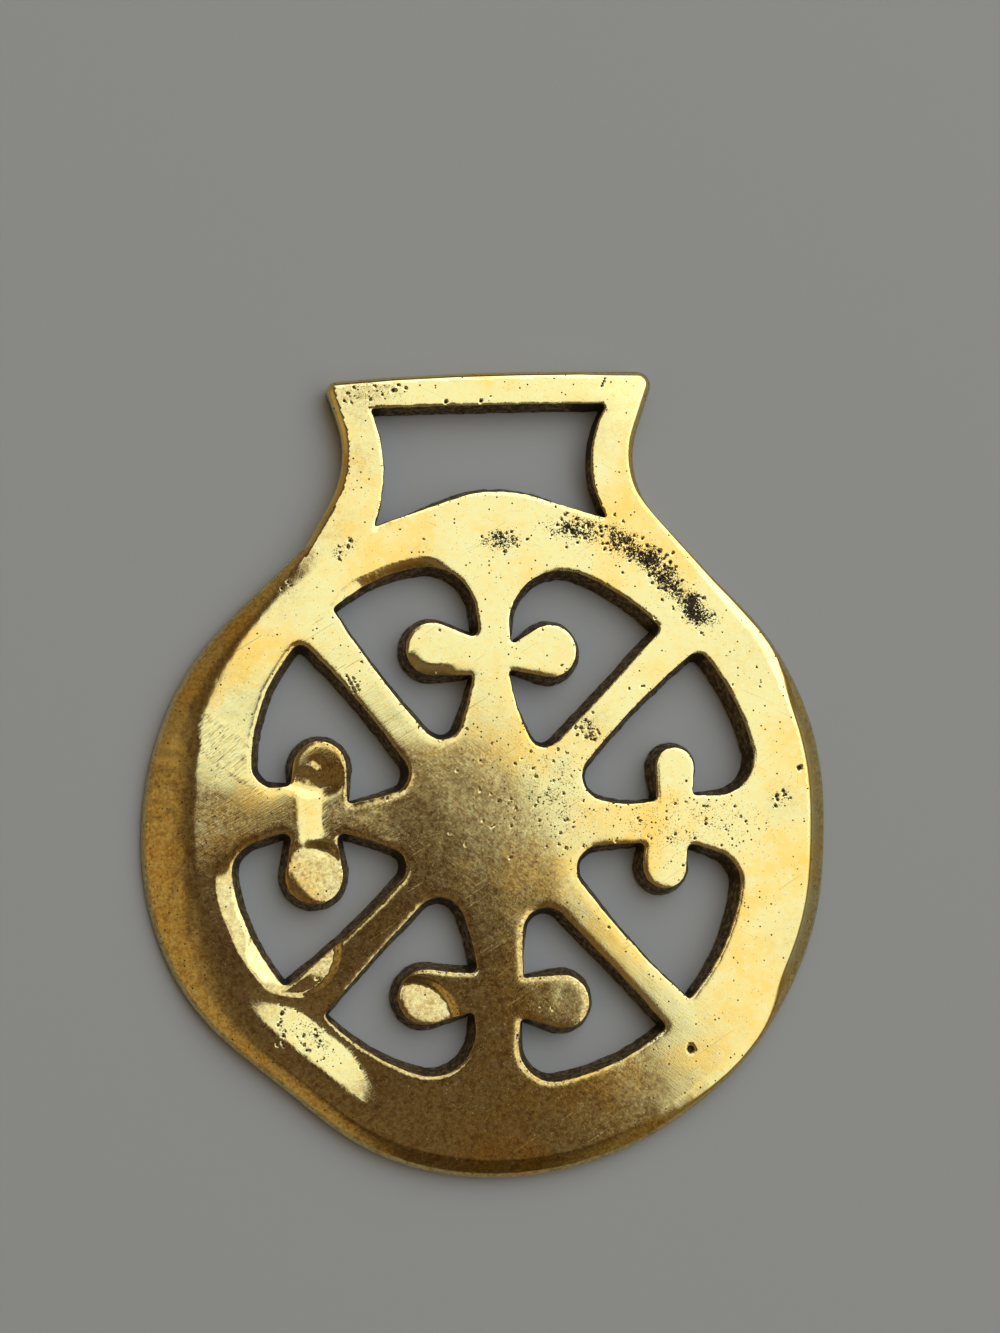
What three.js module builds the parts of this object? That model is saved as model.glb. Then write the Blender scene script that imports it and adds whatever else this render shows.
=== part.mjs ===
// A cast brass horse brass: a pierced disc of four arms and four spokes, with a strap hanger above it.
// One casting, hand filed. Millimetres; it lies on its flat back with its face up.
// The origin is the middle of the disc on the back: +X right, +Y toward the hanger, +Z out of the face.
import * as THREE from "three";

// ---- Driving dimensions ----
const THICKNESS = 3.2;

const DISC = { x: 0.3, y: -0.1, radius: 40 };
const RING_INSIDE = 30.8; // inner radius of the ring, seen from the middle of the disc

const ARM_HALF = 2.1; // half the width of an arm where the lobes leave it
const ARM_ROOT_HALF = 3.2; // and where it runs into the hub
const SPOKE_HALF = 2; // half the width of a diagonal spoke

const LOBE = { along: 20.1, out: 6.2, radius: 2.9 }; // a lobe's middle, along its arm and out from it
const LOBE_NECK_HALF = 2.2;

const TIP_RADIUS = 0.8; // corner between a spoke and the ring
const HEEL_RADIUS = 2.5; // corner between a spoke and an arm, at the hub
const NOTCH_RADIUS = 0.7; // corners between a lobe and its arm
const BAY_RADIUS = 4.5; // corner between an arm and the ring
const BAY_OUT = 7.1; // how far out from the arm's middle line that corner is centred

// ---- Edges: how far a face edge stands back from the widest outline at each height ----
const BACK_BREAK = 0.3; // the back edges are broken this much
const OPENING_RUN = 0.85; // an opening is this much narrower all round at the back than at the face
const OPENING_ROUND = 0.5; // radius of an opening's face edge
const RIM_FALL = { width: 2.3, height: 1.7 }; // the disc's rounded rim
const HANGER_FALL = 0.7; // and across the hanger's edge
const RIM_DRAFT = 0.08; // the share of either that the upright wall below leans in by
const RIM_FACETS = 3; // facets across the disc's rounded rim
const EDGE_FACETS = 2; // and across an opening's rounded face edge
const SHARPEST = 0.05; // no corner is sharper than this
const FACET_ERROR = 0.02; // how far a facet may lie from the true arc

// ---- Outlines: a belt drawn round a ring of circles ----
// A circle with a positive radius is a rounded corner of the outline, one with a negative radius a hollow.
// A circle's bow, where it has one, is the radius of the arc that leads on to the next circle; without one,
// a straight leads on.
const circle = (x, y, radius, more = {}) => ({ x, y, radius, ...more });

const centreOf = (c) => new THREE.Vector2(c.x, c.y);

// The direction of the outline's outward side along the straight that leads from circle a to circle b.
function straightSide(a, b) {
  const between = centreOf(b).sub(centreOf(a));
  return between.angle() - Math.acos((a.radius - b.radius) / between.length());
}

// The arc of radius bow that touches circles a and b: its centre, and its outward side at either end.
function bowArc(a, b, bow) {
  const from = centreOf(a);
  const between = centreOf(b).sub(from);
  const length = between.length();
  const reachA = Math.abs(bow - a.radius);
  const reachB = Math.abs(bow - b.radius);
  const along = (reachA ** 2 - reachB ** 2 + length ** 2) / (2 * length);
  const aside = Math.sqrt(reachA ** 2 - along ** 2) * Math.sign(bow);
  const unit = between.normalize();
  const centre = from.addScaledVector(unit, along).add(new THREE.Vector2(-unit.y, unit.x).multiplyScalar(aside));
  const side = (c) => centreOf(c).sub(centre).divideScalar(bow - c.radius).angle();
  return { ...arc(centre, bow, side(a), side(b)), isBow: true };
}

// An arc's outward side turns left round a corner and right round a hollow.
function arc(centre, radius, start, end) {
  const turn = THREE.MathUtils.euclideanModulo(Math.sign(radius) * (end - start), 2 * Math.PI);
  return { centre, radius, start, end, turn: Math.sign(radius) * turn };
}

// The arcs of a whole outline, anticlockwise, drawn in by inset times each circle's own edge width.
function beltArcs(circles, inset) {
  const drawnIn = (c, radius) => radius - inset * (c.edge ?? 1);
  const drawn = circles.map((c) => ({
    ...c,
    radius: c.radius > 0 ? Math.max(drawnIn(c, c.radius), SHARPEST) : drawnIn(c, c.radius),
  }));
  const links = drawn.map((a, i) => {
    const b = drawn[(i + 1) % drawn.length];
    if (a.bow) return bowArc(a, b, drawnIn(a, a.bow));
    const side = straightSide(a, b);
    return { start: side, end: side };
  });
  return drawn.flatMap((c, i) => {
    const before = links[(i + links.length - 1) % links.length];
    const round = arc(centreOf(c), c.radius, before.end, links[i].start);
    return c.bow ? [round, links[i]] : [round];
  });
}

// Facets enough to keep an arc within FACET_ERROR of round.
const facetsOf = ({ radius, turn }) =>
  Math.max(2, Math.ceil(Math.abs(turn) / Math.sqrt((8 * FACET_ERROR) / Math.abs(radius))));

// Points along an arc. A bow leaves out its two ends, which the circles' own arcs already have.
function arcPoints({ centre, radius, start, turn, isBow }, facets) {
  const steps = Array.from({ length: facets + 1 }, (_, k) => start + (turn * k) / facets);
  const sides = isBow ? steps.slice(1, -1) : steps;
  return sides.map((side) => new THREE.Vector2(Math.cos(side), Math.sin(side)).multiplyScalar(radius).add(centre));
}

// Points on the outline. Every inset of one outline has the same number of points, so that they join up.
function belt(circles, inset) {
  const facets = beltArcs(circles, 0).map(facetsOf);
  return beltArcs(circles, inset).flatMap((a, i) => arcPoints(a, facets[i]));
}

// ---- The eight openings ----
// Each lies between an arm and a spoke. In its own axes x runs out along the arm and y away from it.
function patternOpening() {
  const notchOut = ARM_HALF + NOTCH_RADIUS;
  const notchAlong = LOBE_NECK_HALF + NOTCH_RADIUS;
  const heelOut = ARM_ROOT_HALF + HEEL_RADIUS;
  const tipReach = RING_INSIDE - TIP_RADIUS;
  const tipAside = Math.PI / 4 - Math.asin((SPOKE_HALF + TIP_RADIUS) / tipReach);
  return {
    tip: circle(tipReach * Math.cos(tipAside), tipReach * Math.sin(tipAside), TIP_RADIUS),
    heel: circle(heelOut + Math.SQRT2 * (SPOKE_HALF + HEEL_RADIUS), heelOut, HEEL_RADIUS),
    innerNotch: circle(LOBE.along - notchAlong, notchOut, NOTCH_RADIUS),
    lobe: circle(LOBE.along, LOBE.out, -LOBE.radius),
    outerNotch: circle(LOBE.along + notchAlong, notchOut, NOTCH_RADIUS),
    bay: circle(Math.sqrt((RING_INSIDE - BAY_RADIUS) ** 2 - BAY_OUT ** 2), BAY_OUT, BAY_RADIUS),
  };
}

// The casting is hand work, so each opening strays from the pattern. A row holds [x, y, radius] to add to
// its circles, and the radii its three long sides are bowed to. side is 1 for the opening to the left of the
// arm, looking out from the hub, and -1 for the one to the right.
const OPENINGS = [
  { arm: 90, side: 1, ringBow: 20, spokeBow: 110, armBow: 60,
    tip: [1.4, -1.1, -0.2], heel: [-0.2, 0.3, -0.1], innerNotch: [-0.4, -0.1, -0.3],
    lobe: [0, 0.9, 0.1], outerNotch: [-0.5, -0.3, 0.2], bay: [-1.5, 0.7, 1.5] },
  { arm: 90, side: -1, ringBow: 28, spokeBow: 400, armBow: 28,
    tip: [-0.3, -0.3, 0.1], heel: [-1.4, 0.3, -0.5], innerNotch: [0.2, -0.6, -0.3],
    lobe: [-0.1, 0.5, 0.1], outerNotch: [-1.6, -0.4, -0.2], bay: [-2.1, 1.1, 1.9] },
  { arm: 180, side: -1, ringBow: 22, spokeBow: 90, armBow: 40,
    tip: [-0.8, 0, 0.5], heel: [0, -0.1, -0.1], innerNotch: [-0.8, -0.2, -0.2],
    lobe: [-0.1, 0, 0.1], outerNotch: [0.8, 1.8, -0.1], bay: [-0.2, -0.5, -1.7] },
  { arm: 0, side: 1, ringBow: 28, spokeBow: 90, armBow: 14,
    tip: [1.1, -0.5, 0.7], heel: [1.3, -0.2, 0.5], innerNotch: [1.6, 0.2, -0.2],
    lobe: [1.3, 0.4, -0.7], outerNotch: [0.9, 0.9, -0.2], bay: [1, 0.7, 0.1] },
  { arm: 180, side: 1, ringBow: 25, spokeBow: 90, armBow: 60,
    tip: [0.6, -1.3, -0.1], heel: [0.1, -0.6, -0.2], innerNotch: [-0.1, -0.7, 0.2],
    lobe: [0.4, -0.1, 0.3], outerNotch: [1.1, -0.6, 0.3], bay: [0.7, -1.2, -0.6] },
  { arm: 0, side: -1, ringBow: 25, spokeBow: 90, armBow: 60,
    tip: [-0.2, 0.6, -0.3], heel: [0.4, -0.4, 0.3], innerNotch: [0, 0, -0.1],
    lobe: [0, -1.2, -0.4], outerNotch: [0.4, 0.2, 0], bay: [0, -0.2, -0.6] },
  { arm: 270, side: -1, ringBow: 27, spokeBow: 300, armBow: 22,
    tip: [-1.2, -0.5, -0.2], heel: [-0.6, 0.5, 0.5], innerNotch: [-0.8, -0.1, 0.2],
    lobe: [-0.2, 1.5, 0.2], outerNotch: [-0.7, -0.1, 0], bay: [-1.6, 0, 0.7] },
  { arm: 270, side: 1, ringBow: 26, spokeBow: 300, armBow: 60,
    tip: [0.3, 0.3, -0.1], heel: [0.4, 0.5, 0.3], innerNotch: [0.2, 1, -0.3],
    lobe: [0.4, 1.9, 0.1], outerNotch: [0, 1, 0], bay: [0.1, 0, -0.3] },
];

function openingCircles({ arm, side, ringBow, spokeBow, armBow, ...strays }) {
  const turn = THREE.MathUtils.degToRad(arm);
  const bows = { bay: ringBow, tip: spokeBow, heel: armBow };
  const placed = Object.entries(patternOpening()).map(([name, c]) => {
    const [dx, dy, grow] = strays[name];
    const at = new THREE.Vector2(c.x + dx, side * (c.y + dy)).rotateAround(new THREE.Vector2(), turn);
    return circle(at.x, at.y, c.radius + Math.sign(c.radius) * grow, name in bows ? { bow: bows[name] } : {});
  });
  return side > 0 ? placed : mirrored(placed);
}

// A mirrored outline runs the other way round, so its circles are reversed and each bow moves to its new start.
function mirrored(circles) {
  return circles.map((c, i) => {
    const { bow, ...rest } = c;
    const next = circles[(i + circles.length - 1) % circles.length];
    return next.bow ? { ...rest, bow: next.bow } : rest;
  }).reverse();
}

// ---- The hanger and its strap slot ----
const SLOT = [
  circle(12.9, 49.2, 0.5, { bow: 800 }),
  circle(-13.9, 47.9, 0.5, { bow: -18 }),
  circle(-13.7, 34.6, 0.25),
  circle(0.8, 22.7, -16),
  circle(13.1, 36.2, 0.3, { bow: -12.8 }),
];

const OUTSIDE = [
  circle(DISC.x, DISC.y, DISC.radius, { edge: RIM_FALL.width }),
  circle(26.8, 43.5, -10, { edge: HANGER_FALL }),
  circle(17.3, 52.1, 1.7, { edge: HANGER_FALL, bow: 500 }),
  circle(-18.6, 50.7, 1.1, { edge: HANGER_FALL }),
  circle(-28.9, 43.4, -11, { edge: HANGER_FALL }),
  circle(-26.4, 36.2, -5, { edge: HANGER_FALL }),
];

// The disc isn't quite round: where it swells or was filed flat, in degrees round the disc.
const OUT_OF_ROUND = [
  { at: -163, by: 0.85, over: 20 },
  { at: -129, by: -1.6, over: 11 },
  { at: -90, by: 0.5, over: 18 },
  { at: -66, by: 0.3, over: 12 },
  { at: -42, by: 0.35, over: 8 },
  { at: -2, by: -0.5, over: 8 },
  { at: 49, by: -0.7, over: 8 },
  { at: 133, by: -1.5, over: 13 },
];

function outOfRound(point) {
  const angle = THREE.MathUtils.radToDeg(point.angle());
  const by = OUT_OF_ROUND.reduce((sum, bump) => {
    const away = THREE.MathUtils.euclideanModulo(angle - bump.at + 180, 360) - 180;
    return sum + bump.by * Math.exp(-0.5 * (away / bump.over) ** 2);
  }, 0);
  return point.setLength(point.length() + by);
}

// ---- Building the solid ----
// Heights from the back to the face, with how far the outline is drawn in at each.
const roundedBy = (facets) => Array.from({ length: facets }, (_, i) => ((i + 1) / facets) * (Math.PI / 2));

const openingLevels = [
  { z: 0, inset: OPENING_RUN - BACK_BREAK },
  { z: BACK_BREAK, inset: OPENING_RUN },
  { z: THICKNESS - OPENING_ROUND, inset: OPENING_ROUND },
  ...roundedBy(EDGE_FACETS).map((turn) => ({
    z: THICKNESS - OPENING_ROUND * (1 - Math.sin(turn)),
    inset: OPENING_ROUND * Math.cos(turn),
  })),
];

// Outside, the inset is a share of each circle's own edge width.
const outsideLevels = [
  { z: 0, inset: BACK_BREAK / RIM_FALL.width },
  { z: BACK_BREAK, inset: 0 },
  { z: THICKNESS - RIM_FALL.height, inset: RIM_DRAFT },
  ...roundedBy(RIM_FACETS).map((turn) => ({
    z: THICKNESS - RIM_FALL.height * (1 - Math.sin(turn)),
    inset: 1 - (1 - RIM_DRAFT) * Math.cos(turn),
  })),
];

// The wall through a ring of level outlines, and the outlines' own vertices, added to the mesh data.
function addWall(data, rings, levels, facesOut) {
  const first = data.positions.length / 3;
  const count = rings[0].length;
  rings.forEach((ring, k) => ring.forEach((p) => data.positions.push(p.x, p.y, levels[k].z)));
  for (let k = 0; k + 1 < rings.length; k += 1) {
    for (let i = 0; i < count; i += 1) {
      const a = first + k * count + i;
      const b = first + k * count + ((i + 1) % count);
      const quad = [a, b, b + count, a, b + count, a + count];
      data.indices.push(...(facesOut ? quad : quad.reverse()));
    }
  }
  return { back: first, face: first + (rings.length - 1) * count, count };
}

function addCap(data, walls, outlines, level, facesUp) {
  const [outside, ...holes] = outlines;
  const triangles = THREE.ShapeUtils.triangulateShape(outside, holes);
  const index = walls.flatMap((wall) => Array.from({ length: wall.count }, (_, i) => wall[level] + i));
  triangles.forEach((t) => {
    const corners = t.map((i) => index[i]);
    data.indices.push(...(facesUp ? corners : corners.reverse()));
  });
}

function castingGeometry() {
  const outlines = [
    { levels: outsideLevels, rings: outsideLevels.map((l) => belt(OUTSIDE, l.inset).map(outOfRound)) },
    ...[SLOT, ...OPENINGS.map(openingCircles)].map((circles) => ({
      levels: openingLevels,
      rings: openingLevels.map((l) => belt(circles, l.inset)),
    })),
  ];
  const data = { positions: [], indices: [] };
  const walls = outlines.map((o, i) => addWall(data, o.rings, o.levels, i === 0));
  addCap(data, walls, outlines.map((o) => o.rings.at(-1)), "face", true);
  addCap(data, walls, outlines.map((o) => o.rings[0]), "back", false);
  const geometry = new THREE.BufferGeometry();
  geometry.setAttribute("position", new THREE.Float32BufferAttribute(data.positions, 3));
  geometry.setIndex(data.indices);
  geometry.computeVertexNormals();
  return geometry;
}

const brass = new THREE.MeshStandardMaterial({ color: 0xc9a648, roughness: 0.3, metalness: 1 });
const casting = new THREE.Mesh(castingGeometry(), brass);
casting.name = "horse_brass";

const part = new THREE.Group();
part.add(casting);
export default part;
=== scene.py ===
import math

import bpy
import numpy as np
from mathutils import Matrix, Vector, geometry, kdtree


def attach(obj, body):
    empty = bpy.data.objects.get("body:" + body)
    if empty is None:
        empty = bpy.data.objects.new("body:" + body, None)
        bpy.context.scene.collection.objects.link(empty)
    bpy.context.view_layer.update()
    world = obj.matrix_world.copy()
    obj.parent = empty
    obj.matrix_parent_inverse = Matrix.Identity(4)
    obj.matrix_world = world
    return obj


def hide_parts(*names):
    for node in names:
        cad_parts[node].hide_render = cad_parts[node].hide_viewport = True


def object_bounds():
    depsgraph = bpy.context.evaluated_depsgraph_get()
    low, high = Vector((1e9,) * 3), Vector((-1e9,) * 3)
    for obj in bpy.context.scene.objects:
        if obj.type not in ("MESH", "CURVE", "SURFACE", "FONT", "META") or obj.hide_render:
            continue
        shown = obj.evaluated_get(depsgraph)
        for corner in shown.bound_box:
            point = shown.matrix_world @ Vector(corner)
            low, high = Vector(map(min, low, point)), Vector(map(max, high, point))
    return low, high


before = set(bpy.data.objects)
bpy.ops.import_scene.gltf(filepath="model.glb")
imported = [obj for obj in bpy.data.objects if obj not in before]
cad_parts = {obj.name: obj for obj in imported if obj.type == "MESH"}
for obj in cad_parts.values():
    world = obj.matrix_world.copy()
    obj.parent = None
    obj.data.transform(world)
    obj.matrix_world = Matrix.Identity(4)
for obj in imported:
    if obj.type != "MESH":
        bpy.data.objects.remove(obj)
CAD_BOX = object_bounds()

# A cast horse brass lying face up on a pale floor. The CAD node gives every outline; this script gives the
# casting its worn face, rough openings, pits and tarnish, with painted reflection and shade. Lengths are
# millimetres until a mesh is made.
MM = 0.001
rng = np.random.default_rng(1904)

NODE = "horse_brass"
DISC = np.array([0.3, -0.1])     # the middle of the disc
STEP_EDGE = 0.27        # spacing of points along an outline
STEP_FACE = 0.33        # and over the face
STEP_BACK = 0.9         # and over the back, which is plain
STEP_MATCH = 0.04       # and along an outline when a wall's points are matched to it
SAME_HEIGHT = 0.02      # points nearer in height than this are on one level


# ---- Small numeric helpers ----
def smooth(t):
    t = np.clip(t, 0.0, 1.0)
    return t * t * (3.0 - 2.0 * t)


def falloff(distance, reach):
    """1 at no distance, easing to 0 at reach."""
    return 1.0 - smooth(np.asarray(distance) / reach)


def lattice(ix, iy, iz, seed):
    """A repeatable number from 0 to 1 for each whole-number lattice point."""
    h = (ix * 73856093) ^ (iy * 19349663) ^ (iz * 83492791) ^ (seed * 2654435761)
    h = (h ^ (h >> 13)) * 1274126177 & 0x7FFFFFFF
    h = (h ^ (h >> 16)) * 668265263 & 0x7FFFFFFF
    return (h & 0xFFFFFF) / float(0xFFFFFF)


def noise(points, size, seed):
    """Smooth noise from -1 to 1 with features about size across. Points are N x 2 or N x 3."""
    p = np.asarray(points, float) / size
    if p.shape[1] == 2:
        p = np.column_stack([p, np.full(len(p), 0.5)])
    whole = np.floor(p).astype(np.int64)
    part = p - whole
    part = part * part * part * (part * (part * 6 - 15) + 10)
    total = np.zeros(len(p))
    for corner in range(8):
        offset = np.array([corner & 1, corner >> 1 & 1, corner >> 2 & 1])
        weight = np.prod(np.where(offset, part, 1 - part), axis=1)
        c = whole + offset
        total += weight * lattice(c[:, 0], c[:, 1], c[:, 2], seed)
    return 2 * total - 1


def nearest(points, targets):
    """Distance from each point to the nearest target, and which target that is."""
    tree = kdtree.KDTree(len(targets))
    for i, t in enumerate(targets):
        tree.insert((t[0], t[1], 0.0), i)
    tree.balance()
    found = [tree.find((p[0], p[1], 0.0)) for p in points]
    return np.array([f[2] for f in found]), np.array([f[1] for f in found])


# ---- Outlines, read from the CAD node ----
def cad_levels():
    """The CAD mesh's points in millimetres, its triangles and its heights."""
    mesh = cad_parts[NODE].data
    mesh.calc_loop_triangles()
    co = np.array([v.co for v in mesh.vertices], float) / MM
    points, index = np.unique(np.round(co, 4), axis=0, return_inverse=True)
    corners = index.reshape(-1)[np.array([t.vertices[:] for t in mesh.loop_triangles])]
    return points, corners, np.unique(np.round(points[:, 2], 2))


def rings_at(points, triangles, z):
    """Closed outlines of the wall edges that lie at height z, each anticlockwise."""
    at = np.abs(points[:, 2] - z) < SAME_HEIGHT
    flat = at[triangles].all(axis=1)
    neighbours = {}
    for a, b, c in triangles[~flat]:
        for p, q in ((a, b), (b, c), (c, a)):
            if at[p] and at[q]:
                neighbours.setdefault(p, set()).add(q)
                neighbours.setdefault(q, set()).add(p)
    rings = []
    left = set(neighbours)
    while left:
        start = min(left)
        ring = [start]
        left.discard(start)
        while True:
            onward = [n for n in sorted(neighbours[ring[-1]]) if n in left]
            if not onward:
                break
            ring.append(onward[0])
            left.discard(onward[0])
        xy = points[ring][:, :2]
        rings.append(xy if area_of(xy) > 0 else xy[::-1])
    return rings


def area_of(ring):
    x, y = ring[:, 0], ring[:, 1]
    return 0.5 * np.sum(x * np.roll(y, -1) - y * np.roll(x, -1))


def matched(ring, others):
    """The ring of others that goes with this one, started at the same corner."""
    middle = ring.mean(axis=0)
    size = np.ptp(ring, axis=0)

    def unlike(other):
        moved = np.linalg.norm(other.mean(axis=0) - middle)
        return moved + np.abs(np.ptp(other, axis=0) - size).sum()

    other = min(others, key=unlike)
    if len(other) != len(ring):
        raise ValueError("the CAD outlines don't join up point to point")
    shifts = [np.sum((np.roll(other, -k, axis=0) - ring) ** 2) for k in range(len(ring))]
    return np.roll(other, -int(np.argmin(shifts)), axis=0)


def resampled(ring, partner, step):
    """Both rings with points at even steps along the first."""
    closed = np.vstack([ring, ring[:1]])
    closed_partner = np.vstack([partner, partner[:1]])
    along = np.concatenate([[0], np.cumsum(np.linalg.norm(np.diff(closed, axis=0), axis=1))])
    count = max(8, int(round(along[-1] / step)))
    at = np.linspace(0, along[-1], count, endpoint=False)

    def pick(xy):
        return np.column_stack([np.interp(at, along, xy[:, 0]), np.interp(at, along, xy[:, 1])])

    return pick(closed), pick(closed_partner)


def facing(ring, wall, step):
    """Points at even steps along wall, and for each the point of ring that it faces."""
    fine, _ = resampled(ring, ring, STEP_MATCH)
    even, _ = resampled(wall, wall, step)
    # the nearest points, counted from the first one's and never going back
    first = nearest(even[:1], fine)[1][0]
    at = nearest(even, fine)[1]
    at = (at - at[0]) % len(fine)
    quarter = len(at) // 4
    at[:quarter][at[:quarter] > len(fine) // 2] = 0
    at = np.maximum.accumulate(at).astype(float)
    # drawn a little toward even steps, so that none bunch in a corner
    spread = np.arange(len(at)) * len(fine) / len(at)
    at = 0.8 * at + 0.2 * spread + first
    loop = np.vstack([fine, fine[:1]])
    at = at % len(fine)
    pick = [np.interp(at, np.arange(len(loop)), loop[:, axis]) for axis in (0, 1)]
    return np.column_stack(pick), even


cad_points, cad_triangles, heights = cad_levels()
TOP = heights[-1]
THROAT = heights[1]    # the height where an opening is narrowest and the outside widest
face_rings = sorted(rings_at(cad_points, cad_triangles, TOP), key=area_of, reverse=True)
throat_rings = rings_at(cad_points, cad_triangles, THROAT)
outlines = [resampled(r, matched(r, throat_rings), STEP_EDGE) for r in face_rings]
outlines[0] = facing(face_rings[0], matched(face_rings[0], throat_rings), STEP_EDGE)


# ---- Where a point of the plan lies ----
BATCH = 1500            # how many points are tested at once
LEVEL = 1e-12           # an edge that rises less than this is level


def inside(points, rings):
    """Whether each point lies inside the first ring and outside the others."""
    a = np.vstack(rings)
    b = np.vstack([np.roll(r, -1, axis=0) for r in rings])
    odd = np.zeros(len(points), bool)
    rise = b[:, 1] - a[:, 1]
    slope = (b[:, 0] - a[:, 0]) / np.where(np.abs(rise) < LEVEL, LEVEL, rise)
    for k in range(0, len(points), BATCH):
        x, y = points[k:k + BATCH, 0:1], points[k:k + BATCH, 1:2]
        spans = (a[:, 1] > y) != (b[:, 1] > y)
        crosses = spans & (x < a[:, 0] + (y - a[:, 1]) * slope)
        odd[k:k + BATCH] = crosses.sum(axis=1) % 2 == 1
    return odd


def hexagons(low, high, step):
    """Points of a triangular grid between two corners."""
    row = step * math.sqrt(3) / 2
    ys = np.arange(low[1], high[1], row)
    xs = np.arange(low[0], high[0], step)
    return np.array([(x + (step / 2 if k % 2 else 0), y) for k, y in enumerate(ys) for x in xs])


# ---- The pits ----
# Each cluster: middle, half length, half width, direction in degrees, how many pits, their radius, and how
# sooty the face is between them.
PIT_CLUSTERS = [
    (1.0, 33.0, 3.0, 1.5, 0, 16, 0.12, 0.86),
    (10.4, 34.4, 5.0, 2.0, -6, 30, 0.13, 0.96),
    (15.5, 32.9, 3.4, 2.2, -30, 26, 0.14, 1.06),
    (18.6, 31.2, 2.6, 2.0, -40, 24, 0.16, 1.12),
    (20.8, 28.6, 4.0, 1.9, -52, 34, 0.14, 1.10),
    (23.8, 25.4, 3.8, 2.0, -48, 28, 0.13, 1.08),
    (-17.5, 31.5, 2.0, 0.9, 30, 6, 0.13, 0.62),
    (-24.0, 27.0, 1.6, 0.9, 45, 5, 0.13, 0.58),
    (-14.5, 50.3, 5.5, 1.6, 3, 16, 0.12, 0.60),
    (-19.6, 47.0, 1.4, 4.0, 0, 4, 0.11, 0.55),
    (11.0, 11.0, 2.2, 1.5, -40, 16, 0.13, 0.76),
    (34.0, 3.0, 1.6, 1.5, 0, 8, 0.15, 0.66),
    (-24.0, -23.0, 0.7, 2.6, 0, 8, 0.14, 0.64),
    (-20.5, -24.5, 4.0, 2.2, -45, 16, 0.10, 0.55),
    (12.8, 48.9, 1.6, 0.5, 0, 5, 0.11, 0.85),
    (5.5, 3.0, 8.0, 8.0, 0, 30, 0.08, 0.46),
    (22.0, 0.0, 11.0, 5.0, 0, 22, 0.10, 0.42),
    (8.0, 10.0, 30.0, 30.0, 0, 90, 0.09, 0.0),
]
LONE_PITS = [
    (23.0, -26.0, 0.5), (-5.6, 49.3, 0.22), (-1.5, 49.5, 0.2), (-11.8, 50.5, 0.24), (5.8, 13.3, 0.3),
    (36.3, 6.6, 0.3),
]
# Short cracks and scars, each a row of small pits: from, to, how many, and their radius.
SCARS = [
    (12.9, 51.7, 13.3, 52.6, 4, 0.10),
    (-17.0, 16.8, -15.4, 13.6, 8, 0.13),
    (-16.3, 16.6, -15.6, 15.2, 4, 0.10),
]
PIT_MARGIN = 0.12           # brass left between a pit and an outline
PIT_CROWDING = 1.15         # pits are at least this many times their radii apart
PITTED_RADIUS = 37.0        # the pits end where the rim falls away,
PITTED_HANGER = 30.0        # but go on above this height into the hanger


def pitting(xy):
    """How thickly the face is pitted at each point, from 0 to the soot of the cluster it is in."""
    most = np.zeros(len(xy))
    for x, y, long, wide, heading, _, _, soot in PIT_CLUSTERS:
        turn = math.radians(heading)
        dx, dy = xy[:, 0] - x, xy[:, 1] - y
        along = (dx * math.cos(turn) + dy * math.sin(turn)) / long
        aside = (dy * math.cos(turn) - dx * math.sin(turn)) / wide
        most = np.maximum(most, soot * falloff(np.hypot(along, aside) - 0.35, 0.95))
    return most


def scattered_pits(rings):
    """The middle and radius of each pit, none touching an outline or another pit."""
    pits = list(LONE_PITS)
    for x0, y0, x1, y1, count, radius in SCARS:
        pits += list(zip(np.linspace(x0, x1, count), np.linspace(y0, y1, count), [radius] * count))
    for x, y, long, wide, heading, count, radius, _ in PIT_CLUSTERS:
        turn = math.radians(heading)
        along = rng.normal(0, 0.5, count) * long
        aside = rng.normal(0, 0.5, count) * wide
        size = radius * rng.uniform(0.6, 1.35, count)
        xs = x + along * math.cos(turn) - aside * math.sin(turn)
        ys = y + along * math.sin(turn) + aside * math.cos(turn)
        pits += list(zip(xs, ys, size))
    pits = np.array(pits)
    pits = pits[inside(pits[:, :2], rings)]
    pits = pits[nearest(pits[:, :2], np.vstack(rings))[0] > pits[:, 2] + PIT_MARGIN]
    pits = pits[(np.hypot(pits[:, 0], pits[:, 1]) < PITTED_RADIUS) | (pits[:, 1] > PITTED_HANGER)]
    kept = []
    for p in sorted(pits.tolist(), key=lambda q: -q[2]):
        if all((p[0] - q[0]) ** 2 + (p[1] - q[1]) ** 2 > (PIT_CROWDING * (p[2] + q[2])) ** 2 for q in kept):
            kept.append(p)
    return np.array(kept)


# ---- The face ----
# Where the rim starts to fall away: direction from the disc's middle in degrees, and radius.
RIM_STARTS = [
    (60, 40.5), (100, 40.5), (116, 37.6), (127, 35.8), (160, 35.8), (166, 34.9), (176, 34.4), (200, 34.6),
    (222, 36.6), (250, 37.6), (285, 38.2), (310, 39.0), (330, 40.5), (420, 40.5),
]
# Where the face was filed down from a ridge: middle of the ridge, the way down in degrees, how far along the
# ridge it is whole and how far it reaches, width of the slope, width back up, and depth.
SLOPES = [
    (-22.6, 0.5, 5, 2.9, 5.8, 3.0, 9.0, 0.27),
    (-33.5, 7.5, 55, 5.0, 10.0, 4.0, 22.0, 0.10),
    (-21.2, -26.7, 51, 2.5, 11.0, 3.7, 5.0, 0.43),
]
# Edges of openings worn down toward the opening: middle, reach, width of the wear, and depth.
WORN_EDGES = [
    (-28.5, -12.5, 9.0, 2.1, 0.32),
    (-12.0, 28.5, 7.5, 1.0, 0.22),
    (-7.5, 17.3, 3.4, 1.2, 0.20),
]
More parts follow.
